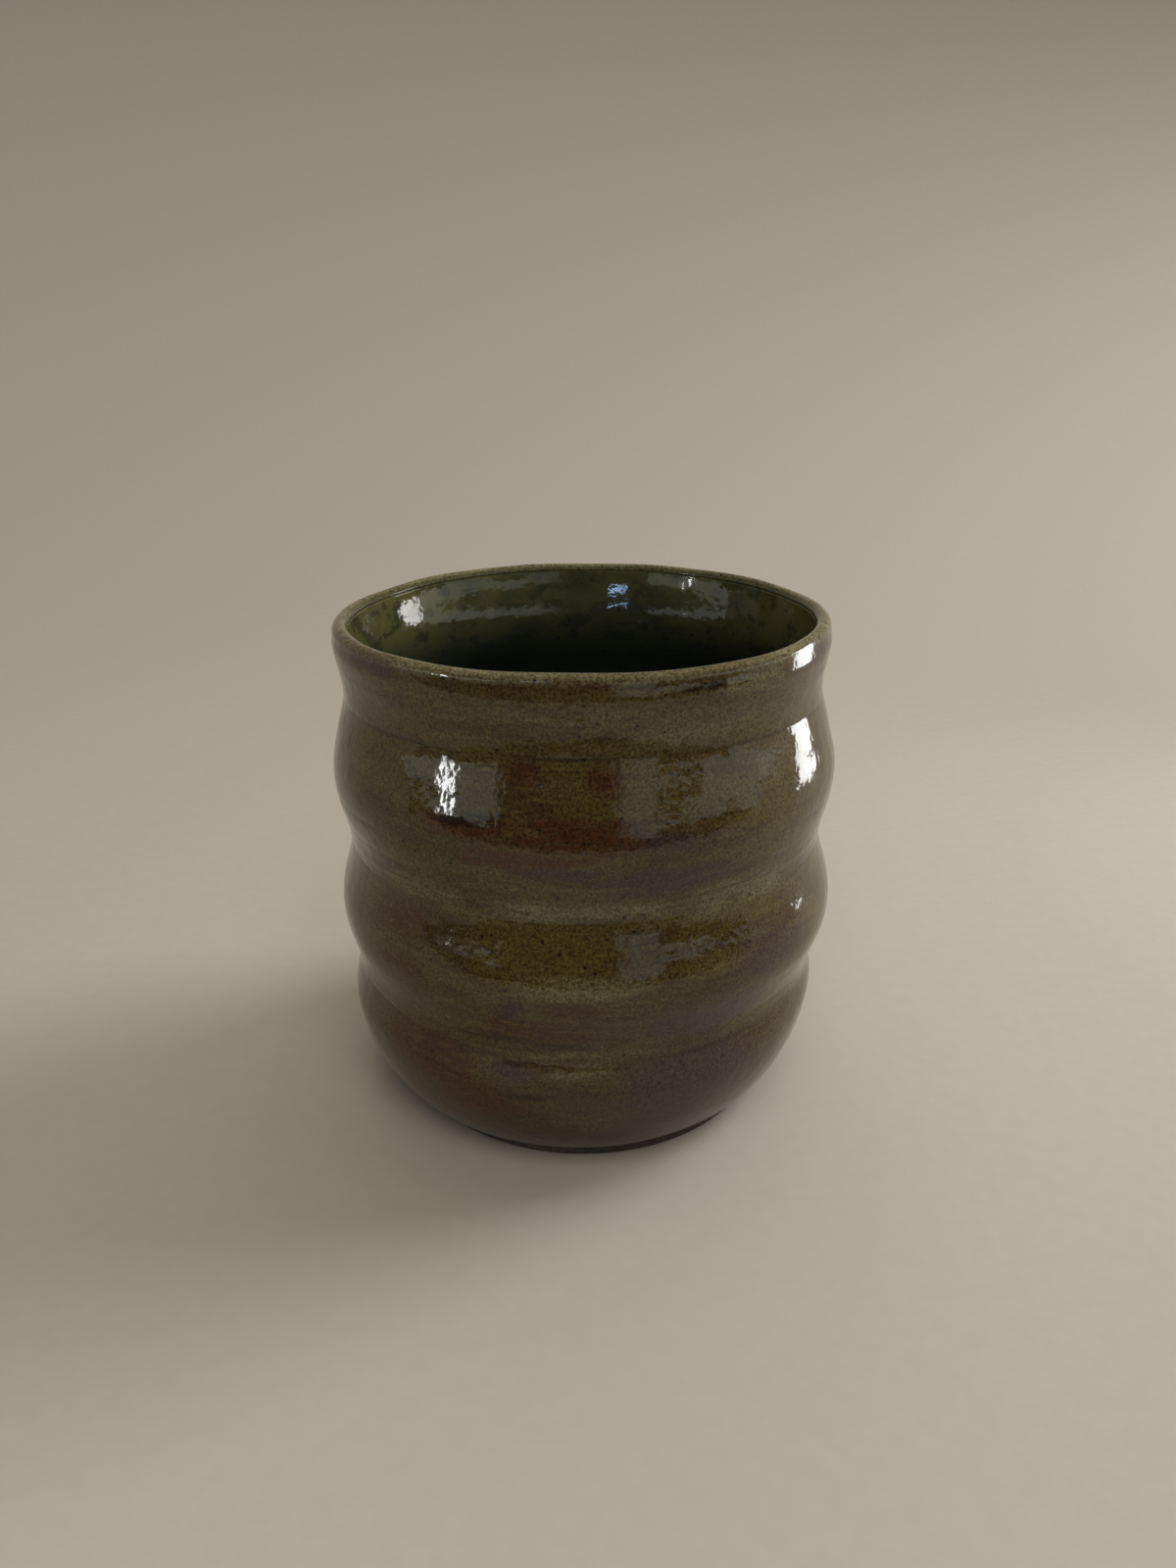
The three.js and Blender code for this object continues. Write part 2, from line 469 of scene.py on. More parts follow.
# Height, sway, width and rise in mm
FINGER_LINES = [
    (18.6, 0.5, 0.55, -0.07),
    (22.4, 0.6, 0.7, 0.06),
    (25.5, 0.2, 0.55, 0.13),
    (27.5, 0.2, 0.6, -0.07),
    (33.0, 0.4, 0.8, 0.05),
    (50.6, 0.5, 0.7, 0.06),
    (53.4, 0.5, 0.6, -0.05),
    (57.8, 0.4, 0.55, -0.06),
    (78.6, 0.4, 0.7, 0.05),
]
# Degrees to the right of the front and length in degrees, then height, width and rise in mm
FINGER_MARKS = [
    (51, 8, 41.2, 2.3, 0.2),
    (52, 4, 69.0, 1.5, 0.07),
    (57, 3, 66.4, 1.4, -0.06),
    (48, 3, 65.0, 1.3, 0.05),
    (329.5, 3, 41.8, 2.0, 0.13),
]


def fading(turn, seed):
    """Strength from 0 to 1 that comes and goes round the mug."""
    level = FADE_LEVEL + FADE_SWING * ripples(turn, 0 * turn, seed, waves=9, longest=30.0)
    return np.clip(level, 0, 1)


def crease_depth(height, turn):
    """Thin line pressed in under the neck: a bell curve on a swaying height.

    It is broken along the turn and loses most of its strength away from the front.
    """
    centre = CREASE_Z + CREASE_SWAY * np.cos(turn + 0.6)
    in_front = bell(np.sin(turn / 2), 0, CREASE_FRONT_WIDTH)
    front_share = CREASE_BEHIND + (1 - CREASE_BEHIND) * in_front
    return front_share * fading(turn, CREASE_SEED) * bell(height, centre, CREASE_WIDTH)


def finger_lines(height, turn):
    """Fine ridges, grooves and finger marks, in mm: bell curves on swaying heights that fade."""
    total = np.zeros(np.broadcast(turn, height).shape)
    for number, (level, sway, width, rise) in enumerate(FINGER_LINES):
        centre = level + sway * np.cos(turn + number)
        total += rise * fading(turn, FINGER_SEED + number) * bell(height, centre, width)
    for where, length, level, width, rise in FINGER_MARKS:
        total += rise * bell(np.degrees(turn), where, length) * bell(height, level, width)
    return total


print(len(FINGER_LINES), "finger lines,", len(FINGER_MARKS), "finger marks and a crease")

# %% Build the outer coat
EDGE_ZONE, EDGE_ROWS = 2, 14
LIP_ZONE, LIP_ROWS = 6, 26
WALL_ROWS, BACK_ROWS = 290, 26
COAT_BLUR = 1.6
EDGE_ROUND = 0.5
EDGE_ROLL, EDGE_ROLL_REACH = 0.3, 1.4
UNEVEN, UNEVEN_REACH, UNEVEN_SEED = 0.05, 3, 3


def outer_coat():
    """Grid of the coat: up its glossy face from edge to lip, then back down along the clay.

    The values that paint needs come with it: height, turn, length along the line and crease.
    """
    total = outside_s[-1]
    reach = total - glaze_line_s
    rows = np.concatenate([
        np.linspace(0, EDGE_ZONE, EDGE_ROWS, endpoint=False),
        np.linspace(EDGE_ZONE, reach - LIP_ZONE, WALL_ROWS, endpoint=False),
        np.linspace(reach - LIP_ZONE, reach, LIP_ROWS),
    ])[:, None]
    start = coat_start[None, :]
    s = start + rows * (total - start) / reach
    radius, height = on_line(outside, outside_s, s)
    even, off_r, off_z = normals(outside, outside_s, COAT_BLUR)
    from_edge = s - start
    rise = np.sqrt(1 - (1 - np.clip(from_edge / EDGE_ROUND, 0, 1)) ** 2)
    thick = GLAZE * rise * (1 + EDGE_ROLL * bell(from_edge, 0, EDGE_ROLL_REACH))
    uneven = UNEVEN * ripples(turn[None, :], height, UNEVEN_SEED, waves=10, longest=9.0)
    thick += uneven * np.clip(from_edge / UNEVEN_REACH, 0, 1)
    crease = crease_depth(height, turn[None, :])
    relief = thick - CREASE_DEPTH * crease + finger_lines(height, turn[None, :])
    face_r = radius + np.interp(s, even, off_r) * relief
    face_z = height + np.interp(s, even, off_z) * thick
    back_rows = np.linspace(reach, 0, BACK_ROWS)[1:-1, None]
    back_s = start + back_rows * (total - start) / reach
    back_r, back_z = on_line(outside, outside_s, back_s)
    ring_r = np.concatenate([face_r, back_r])
    ring_z = np.concatenate([face_z, back_z])
    rings = by_hand(ring_r, ring_z, turn[None, :])
    return rings, face_z, np.repeat(turn_deg[None, :], len(face_z), 0), s, crease


coat_grid, coat_z, coat_turn, coat_s, coat_crease = outer_coat()
coat = closed_skin("outer_glaze_coat", coat_grid)

# %% [markdown]
# ## Brush strokes in the glaze
# Iron in the glaze pools and thins, so bands of rust, plum, olive and khaki lie along the throwing
# lines. Noise alone puts them anywhere, so the ones that show are listed: where round
# the mug in degrees from the front, how high, how long, how wide and how strong. The far side
# gets strokes of the same kind from a seeded generator.

# %% Strokes in front
RUST = [
    (-2, 62.8, 13, 3.0, 1.0),
    (-12, 71.0, 4, 2.6, 0.9),
    (4, 70.0, 4, 1.8, 0.9),
    (-38, 21.5, 14, 5.5, 1.0),
    (-43, 44.6, 10, 3.4, 0.7),
    (-50, 62.5, 10, 4.0, 0.5),
    (-3, 34.0, 8, 2.2, 0.7),
    (-12, 58.6, 15, 1.7, 1.0),
    (-24, 62.6, 10, 2.2, 0.8),
    (7, 42.4, 3, 2.4, 0.5),
    (0, 84.2, 8, 0.6, 0.9),
    (58, 66.0, 7, 4.0, 0.6),
    (-10, 30.0, 14, 2.6, 0.9),
    (-42, 35.5, 9, 5.0, 0.6),
    (-24, 15.0, 12, 5.0, 0.8),
    (-2, 9.5, 20, 3.0, 0.5),
]
PLUM = [
    (-6, 56.4, 12, 1.4, 1.0),
    (16, 54.9, 16, 2.6, 1.0),
    (14, 61.0, 14, 2.0, 0.7),
    (-15, 34.0, 4, 2.4, 1.0),
    (-16, 22.0, 5, 2.0, 1.0),
    (-6, 23.2, 8, 1.6, 0.5),
    (27, 30.0, 16, 4.0, 0.8),
    (26, 19.0, 18, 7.0, 1.0),
    (44, 38.0, 13, 4.0, 0.8),
    (-52, 84.0, 15, 1.8, 1.0),
    (62, 83.0, 13, 2.2, 0.9),
]
OLIVE = [
    (-10, 43.8, 17, 4.2, 1.0),
    (25, 44.8, 8, 2.2, 0.8),
    (-1, 67.0, 6, 2.6, 0.6),
    (-4, 12.5, 16, 3.0, 0.4),
    (-46, 72.0, 14, 7.0, 0.6),
]
KHAKI = [
    (35, 49.8, 15, 2.9, 1.0),
    (0, 50.0, 20, 1.7, 1.0),
    (-38, 50.0, 13, 2.4, 0.7),
    (-2, 38.3, 15, 1.9, 0.85),
    (-1, 25.4, 20, 0.8, 0.55),
    (-1, 22.6, 9, 2.2, 0.55),
    (-6, 79.0, 40, 2.6, 0.5),
    (24, 76.0, 18, 3.4, 0.6),
    (36, 82.0, 10, 2.0, 0.8),
]
IRON = [
    (-24, 64.2, 8, 1.2, 0.8),
    (-12, 27.5, 22, 0.8, 0.6),
    (-13, 18.2, 6, 0.8, 0.8),
    (30, 24.0, 16, 0.7, 0.5),
    (33, 16.0, 14, 0.7, 0.5),
    (24, 83.0, 6, 0.6, 0.9),
    (-16, 33.6, 4, 1.8, 0.45),
    (20, 12.0, 12, 4.5, 0.65),
    (-14, 58.4, 9, 1.0, 0.4),
    (-26, 24.2, 9, 1.1, 0.5),
    (-3, 7.0, 42, 3.0, 0.75),
    (-33, 22.5, 9, 4.5, 0.5),
]
print("strokes in front:", sum(map(len, (RUST, PLUM, OLIVE, KHAKI, IRON))))

# %% Strokes all round
STROKE_RAGGED = 0.5
FAR_DEGREES, FAR_HEIGHTS, FAR_LENGTHS = (75, 285), (8, 82), (9, 30)
FAR_NARROWEST, FAR_STRENGTHS = 1.2, (0.6, 1.0)
# Strokes in front, then seed, count and greatest width of the far ones, then seed of the edge
BANDS = {
    "rust": (RUST, 31, 14, 4.5, 41),
    "plum": (PLUM, 32, 15, 4.5, 42),
    "olive": (OLIVE, 33, 12, 4.5, 43),
    "khaki": (KHAKI, 35, 9, 2.6, 45),
    "iron": (IRON, 34, 9, 1.4, 44),
}


def far_strokes(seed, count, widest):
    """Strokes for the side away from the front, spread at random but always alike."""
    rng = np.random.default_rng(seed)
    where = rng.uniform(*FAR_DEGREES, count)
    height = rng.uniform(*FAR_HEIGHTS, count)
    length = rng.uniform(*FAR_LENGTHS, count)
    width = rng.uniform(FAR_NARROWEST, widest, count)
    strength = rng.uniform(*FAR_STRENGTHS, count)
    return list(zip(where, height, length, width, strength))


def brushed(strokes, seed):
    """Strongest stroke at each point: full along its middle, faded at its ends and sides."""
    ragged = ripples(np.radians(coat_turn), coat_z, seed, waves=14, longest=5.0)
    total = np.zeros(coat_z.shape)
    for where, level, length, width, strength in strokes:
        along = ((coat_turn - where + 180) % 360 - 180) / length
        across = (coat_z - level + STROKE_RAGGED * ragged) / width
        total = np.maximum(total, strength * np.exp(-(along**4) - across**2))
    return total


for name, (strokes, seed, count, widest, edge_seed) in BANDS.items():
    paint(coat, name, brushed(strokes + far_strokes(seed, count, widest), edge_seed))
    print(name, "has", len(strokes) + count, "strokes")

# %% Paint for the crease's painted shade, the lip with its painted highlight, and the darkening towards the foot
LIP_FADE = 1.3
OVER_LIP, OVER_LIP_START, OVER_LIP_END = 0.85, 2.1, 0.6
LIP_HIGHLIGHT_AT, LIP_HIGHLIGHT_WIDTH = 0.6, 0.3
LOW_DARKENING, LOW_DARKEST_Z, LOW_DARKENING_GONE_Z = 0.9, 8, 32
paint(coat, "crease", coat_crease)
coat_end = outside_s[-1]
lip_s = coat_end - np.pi * WALL_AT_LIP / 2
paint(coat, "thin_on_lip", np.clip((coat_s - lip_s) / LIP_FADE, 0, 1))
over_lip = OVER_LIP * eased(coat_s, lip_s + OVER_LIP_START, coat_end - OVER_LIP_END)
paint(coat, "over_lip", over_lip)
# Painted highlight: a pale line on the inner edge of the lip, on the front half only.
front = np.clip(np.cos(np.radians(coat_turn)), 0, 1)
paint(coat, "lip_edge_highlight", front * bell(coat_s, coat_end - LIP_HIGHLIGHT_AT, LIP_HIGHLIGHT_WIDTH))
paint(coat, "darker_low", LOW_DARKENING * (1 - eased(coat_z, LOW_DARKEST_Z, LOW_DARKENING_GONE_Z)))
print("paint values:", [a.name for a in coat.data.attributes if a.domain == "POINT"])

# %% [markdown]
# ## The outer glaze, as a finish
# Seen close, the glaze is a sandy mix of tan and dark brown grains under half a millimetre
# wide, with a few iron specks, drawn out along the throwing lines. It is glossy with a faint
# orange peel, which breaks the edge of every highlight. A painted image could hold all this too,
# but nodes stay sharp at any distance and need no file. The colours are stacked from the ground
# up: streaked ground darker towards the foot, painted bands, painted shade in the crease, the thin
# khaki lip, a painted highlight on the lip's inner edge, sand, then specks.

# %% Outer glaze material
TAN, UMBER = colour(0.07, 0.048, 0.013), colour(0.046, 0.027, 0.007)
PALE_STREAK, DARK_STREAK = colour(0.088, 0.066, 0.023), colour(0.026, 0.012, 0.005)
LOW_DARK_TONE = colour(0.035, 0.0165, 0.003)
BAND_TONES = [
    ("plum", colour(0.047, 0.0255, 0.025)),
    ("rust", colour(0.054, 0.0185, 0.006)),
    ("olive", colour(0.074, 0.051, 0.011)),
    ("khaki", colour(0.112, 0.092, 0.042)),
    ("iron", colour(0.018, 0.008, 0.003)),
]
CREASE_SHADE_TONE = colour(0.02, 0.012, 0.007)
LIP_TONE = colour(0.17, 0.153, 0.093)
OVER_LIP_TONE = colour(0.068, 0.064, 0.032)
LIP_HIGHLIGHT_TONE = colour(0.25, 0.23, 0.16)
DARK_SAND, LIGHT_SAND = colour(0.45, 0.39, 0.34), colour(1.5, 1.55, 1.5)
SPECK_TONE = colour(0.014, 0.008, 0.005)


def streaked_ground(tree, place, streak):
    """Tan and umber by the broad streak, then fine pale and dark streaks, darker towards the foot.
    """
    ground = blended(tree, streak, TAN, UMBER)
    fine = graded(tree, grain(tree, place, 8, detail=5, roughness=0.65, flatten=9), 0.4, 0.66)
    ground = blended(tree, product(tree, fine, 0.5), ground, PALE_STREAK)
    dark = graded(tree, grain(tree, place, 11, detail=5, roughness=0.7, flatten=12), 0.46, 0.3)
    ground = blended(tree, product(tree, dark, 0.7), ground, DARK_STREAK)
    return blended(tree, read_paint(tree, "darker_low"), ground, LOW_DARK_TONE)


def outer_glaze():
    """Streaked ground, painted bands over it, then sand and specks; gloss with orange peel."""
    material, tree, shader, place = new_finish("outer_glaze")
    streak = graded(tree, grain(tree, place, 22, detail=4, roughness=0.6, flatten=5), 0.4, 0.62)
    tone = streaked_ground(tree, place, streak)
    torn = grain(tree, place, 5, detail=5, roughness=0.7, flatten=6)
    ragged = graded(tree, torn, 0.3, 0.62, 0.35, 1.2)
    for name, band_tone in BAND_TONES:
        amount = graded(tree, product(tree, read_paint(tree, name), ragged), 0.12, 0.85)
        tone = blended(tree, amount, tone, band_tone)
    # Painted shade: the crease under the neck is darkened in the colour as well as pressed in.
    tone = blended(tree, read_paint(tree, "crease"), tone, CREASE_SHADE_TONE)
    lip = product(tree, read_paint(tree, "thin_on_lip"), graded(tree, streak, 0.0, 1.0, 1.0, 0.6))
    tone = blended(tree, lip, tone, LIP_TONE)
    tone = blended(tree, read_paint(tree, "over_lip"), tone, OVER_LIP_TONE)
    # Painted highlight: the pale line along the lip's inner edge, in front.
    tone = blended(tree, read_paint(tree, "lip_edge_highlight"), tone, LIP_HIGHLIGHT_TONE)
    dark_sand = blended(tree, 1.0, tone, DARK_SAND, "MULTIPLY")
    light_sand = blended(tree, 1.0, tone, LIGHT_SAND, "MULTIPLY")
    sand = graded(tree, grain(tree, place, 0.4, detail=3, roughness=0.7), 0.33, 0.67)
    tone = blended(tree, sand, dark_sand, light_sand)
    tone = blended(tree, specks(tree, place, 1.9, radius=0.19, left_out=0.5), tone, SPECK_TONE)
    tree.links.new(tone, shader.inputs["Base Color"])
    gloss = graded(tree, grain(tree, place, 2.5, detail=3), 0.3, 0.7, 0.06, 0.11)
    tree.links.new(gloss, shader.inputs["Roughness"])
    hammered = orange_peel(tree, place, 3.0, height_mm=0.13)
    peel = orange_peel(tree, place, 1.1, height_mm=0.025, under=hammered)
    tree.links.new(peel, shader.inputs["Normal"])
    return material


dress(coat, outer_glaze(), "outer_glaze")

# %% [markdown]
# ## The liner glaze inside
# The inside of such a mug is glazed by filling and pouring out. It is a blotchy dark olive,
# smoother than the outside. Painted light makes it paler on both side walls, and painted shade
# over its own dark olive makes it almost black further down.
# The skin is a closed shell too: from the middle of the floor out along the clay to the lip's
# inner edge, where it meets the outer coat, then back on its glossy face to the middle of the
# floor. Its painted light on the sides and its painted shade below follow from the place alone, so
# it needs no values stored by paint().

# %% Build the liner
LINER_COLUMNS = 256
LINER_TOP_ZONE, LINER_TOP_ROWS = 5, 16
LINER_WALL_ROWS, LINER_BACK_ROWS = 120, 30
LINER_BLUR = 1.0
POLE_RADIUS = 0.8
liner_turn = np.linspace(0, 2 * np.pi, LINER_COLUMNS, endpoint=False)[None, :]


def liner_grid():
    """Rows from the floor's middle out along the clay to the lip, then back on the glossy face."""
    near_middle = inside_s[-1] - POLE_RADIUS
    s = np.concatenate([
        np.linspace(0, LINER_TOP_ZONE, LINER_TOP_ROWS, endpoint=False),
        np.linspace(LINER_TOP_ZONE, near_middle, LINER_WALL_ROWS),
    ])
    even, off_r, off_z = normals(inside, inside_s, LINER_BLUR)
    off_r[0], off_z[0] = -1.0, 0.0
    radius, height = on_line(inside, inside_s, s)
    face_r = radius + GLAZE * np.interp(s, even, off_r)
    face_z = height + GLAZE * np.interp(s, even, off_z)
    seat_s = np.linspace(near_middle, 0, LINER_BACK_ROWS)
    seat_r, seat_z = on_line(inside, inside_s, seat_s)
    rings_r = np.concatenate([seat_r, face_r])[:, None]
    rings_z = np.concatenate([seat_z, face_z])[:, None]
    return by_hand(rings_r + 0 * liner_turn, rings_z + 0 * liner_turn, liner_turn)


under_liner = (0, 0, FLOOR_Z * MM)
over_liner = (0, 0, (FLOOR_Z + GLAZE) * MM)
liner = closed_skin("inner_glaze_liner", liner_grid(), under_liner, over_liner)

# %% Liner material
LINER_PALE, LINER_DARK = colour(0.095, 0.087, 0.025), colour(0.034, 0.036, 0.015)
LINER_STREAK = colour(0.085, 0.076, 0.03)
SIDE_LIGHT_TONE = colour(0.16, 0.145, 0.045)
BLOTCH_TONE = colour(0.026, 0.026, 0.013)
INSIDE_SHADE_TONE = colour(0.01, 0.016, 0.015)
LINER_SPECK = colour(0.008, 0.007, 0.004)
SIDE_LIGHT_START_X, SIDE_LIGHT_FULL_X = 22, 39
INSIDE_SHADE_START_Z, INSIDE_SHADE_FULL_Z = LIP_Z + 4, UPPER_BULGE_Z + 5


def inner_glaze():
    """Dark olive, cloudy, streaked, blotched, with iron specks, painted side light and painted
    shade below; smoother gloss.
    """
    material, tree, shader, place = new_finish("inner_glaze")
    cloud = graded(tree, grain(tree, place, 16, detail=4, roughness=0.6, flatten=2), 0.35, 0.68)
    tone = blended(tree, cloud, LINER_PALE, LINER_DARK)
    drawn_out = grain(tree, place, 6, detail=3, roughness=0.6, flatten=6)
    tone = blended(tree, graded(tree, drawn_out, 0.4, 0.75, 0.0, 0.5), tone, LINER_STREAK)
    across, _, height = put(tree, "ShaderNodeSeparateXYZ", {0: place}).outputs
    aside = put(tree, "ShaderNodeMath", {0: across}, operation="ABSOLUTE").outputs[0]
    # Painted light: the side walls are made paler, where light falls on them inside the mug.
    lit_sides = graded(tree, aside, SIDE_LIGHT_START_X * MM, SIDE_LIGHT_FULL_X * MM, 0.0, 0.4)
    tone = blended(tree, lit_sides, tone, SIDE_LIGHT_TONE)
    lumps = grain(tree, place, 5, detail=4, roughness=0.65, flatten=1.5)
    tone = blended(tree, graded(tree, lumps, 0.5, 0.62, 0.0, 0.75), tone, BLOTCH_TONE)
    # Painted shade: the colour turns almost black further down, over the glaze's own dark olive.
    inside_shade = graded(tree, height, INSIDE_SHADE_START_Z * MM, INSIDE_SHADE_FULL_Z * MM, 0.0, 0.95)
    tone = blended(tree, inside_shade, tone, INSIDE_SHADE_TONE)
    tone = blended(tree, specks(tree, place, 2.4, radius=0.15, left_out=0.6), tone, LINER_SPECK)
    tree.links.new(tone, shader.inputs["Base Color"])
    gloss = graded(tree, grain(tree, place, 3, detail=3), 0.3, 0.7, 0.05, 0.09)
    tree.links.new(gloss, shader.inputs["Roughness"])
    uneven = orange_peel(tree, place, 4.0, height_mm=0.12)
    peel = orange_peel(tree, place, 1.1, height_mm=0.018, under=uneven)
    tree.links.new(peel, shader.inputs["Normal"])
    return material


dress(liner, inner_glaze(), "inner_glaze")

# %% [markdown]
# ## The bare stoneware
# Only the foot shows the clay: a narrow dark band under the glaze, the ring that the mug stands
# on and the shallow recess inside it. The picture does not show the underside, so its ring and
# recess are the usual ones. The rest of the body is hidden under its two coats, but it is one
# closed pot all the same. Turning marks from the trimming tool ring the recess. They are part
# of the line, because a bump in the finish would leave the shape itself smooth.

# %% Build the pot
POT_COLUMNS = 240
RECESS_ROWS, RECESS_START_R, RECESS_END_GAP = 60, 1.2, 0.4
RECESS_SINK = 0.09
RING_EASE, RING_LIFT = 0.25, 0.35
TOOL_MARKS = [(0.06, 2.6, 0.0), (0.03, 6.1, 0.0)]
FOOT_ZONE, FOOT_ROWS, POT_WALL_ROWS, POT_INSIDE_ROWS = 4, 16, 70, 50
pot_turn = np.linspace(0, 2 * np.pi, POT_COLUMNS, endpoint=False)[None, :]


def foot_line():
    """Underside of the pot from near the axis: recess, its slope, the ring's flat and its bevel."""
    ring_inner = FOOT_RADIUS - FOOT_RING_WIDTH
    recess_end = ring_inner - RECESS_SLOPE - RECESS_END_GAP
    recess_r = np.linspace(RECESS_START_R, recess_end, RECESS_ROWS)
    recess_z = RECESS_DEPTH - RECESS_SINK + swing(recess_r, TOOL_MARKS)
    recess = np.column_stack([recess_r, recess_z])
    slope = np.array([
        [ring_inner - RECESS_SLOPE, RECESS_DEPTH - RING_LIFT],
        [ring_inner - RING_EASE, RING_LIFT],
        [ring_inner, 0.1],
        [ring_inner + RING_EASE, 0.0],
        [FOOT_RADIUS - FOOT_BEVEL - 0.15, 0.0],
        [FOOT_RADIUS - FOOT_BEVEL + 0.12, 0.06],
    ])
    return np.concatenate([recess, slope])


def pot_grid():
    """Rows from the recess out over the foot, up the outside, over the lip, down to the floor."""
    wall_s = np.concatenate([
        np.linspace(0, FOOT_ZONE, FOOT_ROWS, endpoint=False),
        np.linspace(FOOT_ZONE, outside_s[-1], POT_WALL_ROWS),
    ])
    up = np.column_stack(on_line(outside, outside_s, wall_s))
    down_s = np.linspace(0, inside_s[-1] - POLE_RADIUS, POT_INSIDE_ROWS)[1:]
    down = np.column_stack(on_line(inside, inside_s, down_s))
    line = np.concatenate([foot_line(), up, down])
    return by_hand(line[:, :1] + 0 * pot_turn, line[:, 1:] + 0 * pot_turn, pot_turn)


under_pot = (0, 0, RECESS_DEPTH * MM)
pot = closed_skin("stoneware_pot", pot_grid(), under_pot, under_liner)

# %% Stoneware material
CLAY_TONE, BURN_TONE = colour(0.06, 0.045, 0.032), colour(0.035, 0.026, 0.018)
CLAY_SPECK = colour(0.02, 0.014, 0.01)


def bare_stoneware():
    """Toasted grey-brown clay with sand and darker burns; dull, with a gritty bump."""
    material, tree, shader, place = new_finish("bare_stoneware")
    burn = graded(tree, grain(tree, place, 14, detail=4, roughness=0.6), 0.35, 0.7)
    tone = blended(tree, burn, CLAY_TONE, BURN_TONE)
    grit = graded(tree, grain(tree, place, 0.5, detail=3, roughness=0.7), 0.35, 0.7, 0.65, 1.3)
    tone = shaded(tree, tone, grit)
    tone = blended(tree, specks(tree, place, 2.2, radius=0.14, left_out=0.55), tone, CLAY_SPECK)
    tree.links.new(tone, shader.inputs["Base Color"])
    dull = graded(tree, grain(tree, place, 2, detail=3), 0.3, 0.7, 0.72, 0.9)
    tree.links.new(dull, shader.inputs["Roughness"])
    tree.links.new(orange_peel(tree, place, 0.4, height_mm=0.06), shader.inputs["Normal"])
    return material


dress(pot, bare_stoneware(), "clay_body")

# %% [markdown]
# ## Where it stands
# A pale sweep carries the mug. It is flat near the mug and rises all round like a wide bowl, so
# its rim stays out of sight from every side. The part in front is a sheet of its own that only
# the camera sees: mirrored in the glaze, it would lay a pale veil over the whole front.

# %% Floor and backdrop
STAGE_HALF = 2.8
FLAT_CENTRE_Y, FLAT_RADIUS, BEND_RADIUS = -0.15, 0.5, 1.1
FRONT_EDGE_Y = -0.17
SHEET_COLUMNS, SHEET_ROWS = 90, 60
PAPER_DARK, PAPER_PALE = colour(0.42, 0.395, 0.345), colour(0.46, 0.43, 0.38)


def stage_grid(near, far):
    """Floor between two values of Y: flat in a circle, then rising with the square of the way."""
    across = np.linspace(STAGE_HALF, -STAGE_HALF, SHEET_COLUMNS)
    x, y = np.meshgrid(across, np.linspace(near, far, SHEET_ROWS))
    past = np.maximum(0, np.hypot(x, y - FLAT_CENTRE_Y) - FLAT_RADIUS)
    return np.stack([x, y, past**2 / (2 * BEND_RADIUS)], axis=-1)


def open_sheet(name, grid):
    """Mesh of an open grid: each four neighbours a face."""
    rows, cols = grid.shape[:2]
    index = np.arange(rows * cols).reshape(rows, cols)
    faces = np.stack([index[:-1, :-1], index[1:, :-1], index[1:, 1:], index[:-1, 1:]], axis=-1)
    mesh = bpy.data.meshes.new(name)
    mesh.from_pydata(grid.reshape(-1, 3).tolist(), [], faces.reshape(-1, 4).tolist())
    mesh.polygons.foreach_set("use_smooth", np.ones(len(mesh.polygons), bool))
    sheet = bpy.data.objects.new(name, mesh)
    bpy.context.scene.collection.objects.link(sheet)
    return sheet


def pale_paper():
    """Warm off-white paper, matt, with a barely visible mottling."""
    material, tree, shader, place = new_finish("pale_paper")
    mottle = grain(tree, place, 3, detail=3)
    tree.links.new(blended(tree, mottle, PAPER_DARK, PAPER_PALE), shader.inputs["Base Color"])
    shader.inputs["Roughness"].default_value = 0.9
    shader.inputs["Specular IOR Level"].default_value = 0.1
    return material


paper = pale_paper()
floor = open_sheet("floor_sweep", stage_grid(FRONT_EDGE_Y, STAGE_HALF))
floor_front = open_sheet("floor_front", stage_grid(-STAGE_HALF, FRONT_EDGE_Y))
floor_front.visible_glossy = False
floor_front.visible_diffuse = False
floor_front.visible_shadow = False
for sheet in (floor, floor_front):
    sheet.data.materials.append(paper)
    print(sheet.name, "lies at", min(v.co.z for v in sheet.data.vertices), "m")

# %% [markdown]
# ## Light
# A gloss is only as good as what it mirrors, so the light comes in two kinds. Three large lamps
# only fill: they give the glaze its even level and the soft shadow on the left, and the gloss
# does not show them. What the gloss may show are cards. A bright window stands low on the right
# for the shoulder and the lip, with a narrow spread that keeps most glare off the floor. A thin
# one on the left draws the line on the upper bulge, and a small blue patch high in front shows
# inside the mug. Dim grey cards on both sides lay a veil on the rings, with a dark gap between
# them in front. The right one is built up from pieces round a hole, like the frame of a window,
# and leaves a notch below it. A card is placed by what the mug sees of it: from which angle to
# which, and how high.

# %% A softbox, and a card placed by what the mug sees
WHITE = (1.0, 1.0, 1.0)
MIDDLE = (0, 0, 0.06)
CARD_DISTANCE = 0.9


def softbox(name, place, aim, width, height, watts, tint=WHITE, mirrored=True, spread=180):
    """Rectangular lamp at a place, turned to face a point; sizes in metres, spread in degrees."""
    lamp = bpy.data.lights.new(name, "AREA")
    lamp.shape = "RECTANGLE"
    lamp.size = width
    lamp.size_y = height
    lamp.energy = watts
    lamp.color = tint
    lamp.spread = np.radians(spread)
    box = bpy.data.objects.new(name, lamp)
    facing = (Vector(aim) - Vector(place)).to_track_quat("-Z", "Y")
    box.matrix_world = Matrix.Translation(place) @ facing.to_matrix().to_4x4()
    box.visible_camera = False
    box.visible_glossy = mirrored
    bpy.context.scene.collection.objects.link(box)
    print(name, "gives", round(watts, 2), "W")


